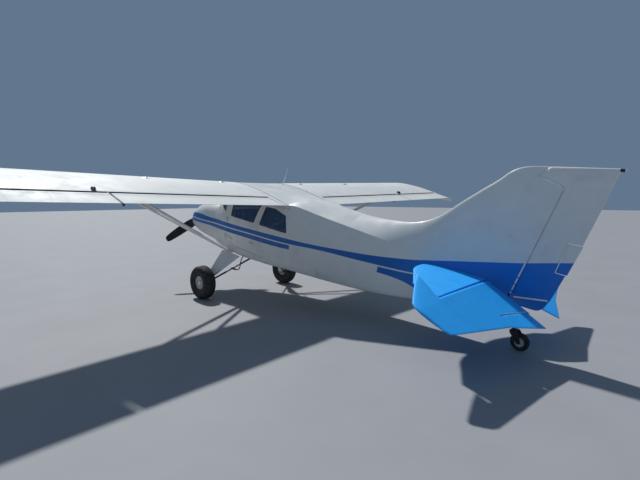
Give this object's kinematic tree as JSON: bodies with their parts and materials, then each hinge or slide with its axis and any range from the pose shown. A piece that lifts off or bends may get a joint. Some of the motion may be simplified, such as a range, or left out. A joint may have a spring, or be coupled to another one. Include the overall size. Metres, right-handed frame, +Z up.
{
  "type": "light aircraft",
  "caption": "High-wing strut-braced light aircraft with a tail-wheel undercarriage, hollow cabin with opening doors, moving control surfaces, flaps, propeller and wheels.",
  "frame": {"origin": "on the ground, under the middle of the bounding box", "axes": "+X to the nose, +Y to the left wing tip, +Z up; the aircraft stands on its three wheels, nose up by 10.5 degrees"},
  "size_m": [7.1469, 9.4024, 2.1604],
  "materials": {
    "painted_wing": "gloss white enamel on sheet metal, slightly weathered",
    "painted_body": "gloss white enamel with two blue side stripes and a light pinstripe",
    "painted_fabric": "painted fabric over ribs and stringers, white above, royal blue below",
    "painted_struts": "white enamel",
    "painted_gear": "white enamel fairing",
    "black_steel": "black painted steel",
    "bare_metal": "satin",
    "engine_metal": "plain block that stands for the engine",
    "exhaust_steel": "heat-tinted steel",
    "propeller_paint": "matt black paint on aluminium",
    "spinner_shell": "gloss white",
    "windscreen_glass": "green-tinted acrylic",
    "window_glass": "lightly tinted acrylic",
    "tyre_rubber": "worn black rubber",
    "wheel_alloy": "cast alloy, painted",
    "seat_cloth": "woven upholstery",
    "panel_black": "crackle black",
    "antenna_plastic": "white glass fibre rod"
  },
  "bodies": {
    "airframe": {"boot_cowl": "painted_body", "windscreen": "windscreen_glass", "cabin_floor": "painted_body", "cabin_wall_left": "painted_body", "cabin_wall_right": "painted_body", "window_rear_left": "window_glass", "cabin_roof": "painted_body", "firewall": "bare_metal", "aft_fuselage": "painted_fabric", "engine_cowl": "painted_body", "engine_block": "engine_metal", "exhaust_stack": "exhaust_steel", "instrument_panel": "panel_black", "front_seat_left": "seat_cloth", "front_seat_right": "seat_cloth", "front_seat_frame": "bare_metal", "rear_bench": "seat_cloth", "rear_bench_frame": "bare_metal", "wing_left": "painted_wing", "wing_tip_left": "painted_wing", "strut_front_left": "painted_struts", "strut_rear_left": "painted_struts", "gear_leg_left": "painted_gear", "shock_strut_left": "black_steel", "wing_right": "painted_wing", "wing_tip_right": "painted_wing", "strut_front_right": "painted_struts", "strut_rear_right": "painted_struts", "gear_leg_right": "painted_gear", "shock_strut_right": "black_steel", "whip_antenna": "antenna_plastic", "fin": "painted_fabric", "stabiliser_left": "painted_fabric", "stabiliser_right": "painted_fabric", "tail_spring": "black_steel"},
    "propeller": {"propeller": "propeller_paint", "spinner": "spinner_shell"},
    "main_wheel_left": {"tyre_left": "tyre_rubber", "wheel_left": "wheel_alloy"},
    "main_wheel_right": {"tyre_right": "tyre_rubber", "wheel_right": "wheel_alloy"},
    "tail_fork": {"tail_fork": "black_steel"},
    "tail_wheel": {"tail_wheel": "tyre_rubber"},
    "rudder": {"rudder": "painted_fabric"},
    "elevators": {"elevator_left": "painted_fabric", "elevator_right": "painted_fabric"},
    "flap_left": {"flap_left": "painted_wing"},
    "flap_right": {"flap_right": "painted_wing"},
    "aileron_left": {"aileron_left": "painted_wing"},
    "aileron_right": {"aileron_right": "painted_wing"},
    "door_front_left": {"door_front_left": "painted_body", "window_front_left": "window_glass"},
    "door_front_right": {"door_front_right": "painted_body", "window_front_right": "window_glass"},
    "door_rear_right": {"door_rear_right": "painted_body", "window_rear_right": "window_glass"},
    "baggage_door": {"baggage_door": "painted_body"}
  },
  "joints": [
    {"name": "propeller_spin", "type": "hinge", "parent": "airframe", "child": "propeller", "pos_m": [3.30816, 0, 1.34018], "axis": [0.9833, 0, 0.1822], "continuous": true},
    {"name": "wheel_left_spin", "type": "hinge", "parent": "airframe", "child": "main_wheel_left", "pos_m": [2.031, 0.915, 0.275], "axis": [0, 1, 0], "continuous": true},
    {"name": "wheel_right_spin", "type": "hinge", "parent": "airframe", "child": "main_wheel_right", "pos_m": [2.031, -0.915, 0.275], "axis": [0, 1, 0], "continuous": true},
    {"name": "tail_fork_steer", "type": "hinge", "parent": "airframe", "child": "tail_fork", "pos_m": [-2.629, 0, 0.1], "axis": [0, 0, 1], "continuous": true},
    {"name": "tail_wheel_spin", "type": "hinge", "parent": "tail_fork", "child": "tail_wheel", "pos_m": [-2.693, 0, 0.1], "axis": [0, 1, 0], "continuous": true},
    {"name": "rudder_swing", "type": "hinge", "parent": "airframe", "child": "rudder", "pos_m": [-2.59747, 0, 0.61991], "axis": [-0.3835, 0, 0.9236], "range_deg": [-25, 25]},
    {"name": "elevator_swing", "type": "hinge", "parent": "airframe", "child": "elevators", "pos_m": [-2.3631, 0, 0.71623], "axis": [0, 1, 0], "range_deg": [0, 46]},
    {"name": "flap_left_swing", "type": "hinge", "parent": "airframe", "child": "flap_left", "pos_m": [0.70635, 1.73742, 1.561], "axis": [0.0046, -0.9997, -0.0251], "range_deg": [0, 40]},
    {"name": "flap_right_swing", "type": "hinge", "parent": "airframe", "child": "flap_right", "pos_m": [0.70635, -1.73742, 1.561], "axis": [-0.0046, -0.9997, 0.0251], "range_deg": [0, 40]},
    {"name": "aileron_left_swing", "type": "hinge", "parent": "airframe", "child": "aileron_left", "pos_m": [0.68603, 3.65338, 1.70355], "axis": [0.0046, -0.9997, -0.0251], "range_deg": [-20, 20]},
    {"name": "aileron_right_swing", "type": "hinge", "parent": "airframe", "child": "aileron_right", "pos_m": [0.68603, -3.65338, 1.70355], "axis": [-0.0046, -0.9997, 0.0251], "range_deg": [-20, 20]},
    {"name": "door_front_left_swing", "type": "hinge", "parent": "airframe", "child": "door_front_left", "pos_m": [1.81573, 0.574, 1.28224], "axis": [0.1822, 0, -0.9833], "range_deg": [0, 36]},
    {"name": "door_front_right_swing", "type": "hinge", "parent": "airframe", "child": "door_front_right", "pos_m": [1.81573, -0.574, 1.28224], "axis": [-0.1822, 0, 0.9833], "range_deg": [0, 36]},
    {"name": "door_rear_right_swing", "type": "hinge", "parent": "airframe", "child": "door_rear_right", "pos_m": [1.04485, -0.57, 1.13937], "axis": [-0.1822, 0, 0.9833], "range_deg": [0, 80]},
    {"name": "baggage_door_swing", "type": "hinge", "parent": "airframe", "child": "baggage_door", "pos_m": [-0.05321, -0.476, 0.81381], "axis": [0.1822, 0, -0.9833], "range_deg": [0, 120]}
  ],
  "couplings": [
    {"joint": "flap_right_swing", "follows": "flap_left_swing", "ratio": 1},
    {"joint": "aileron_right_swing", "follows": "aileron_left_swing", "ratio": -1}
  ]
}
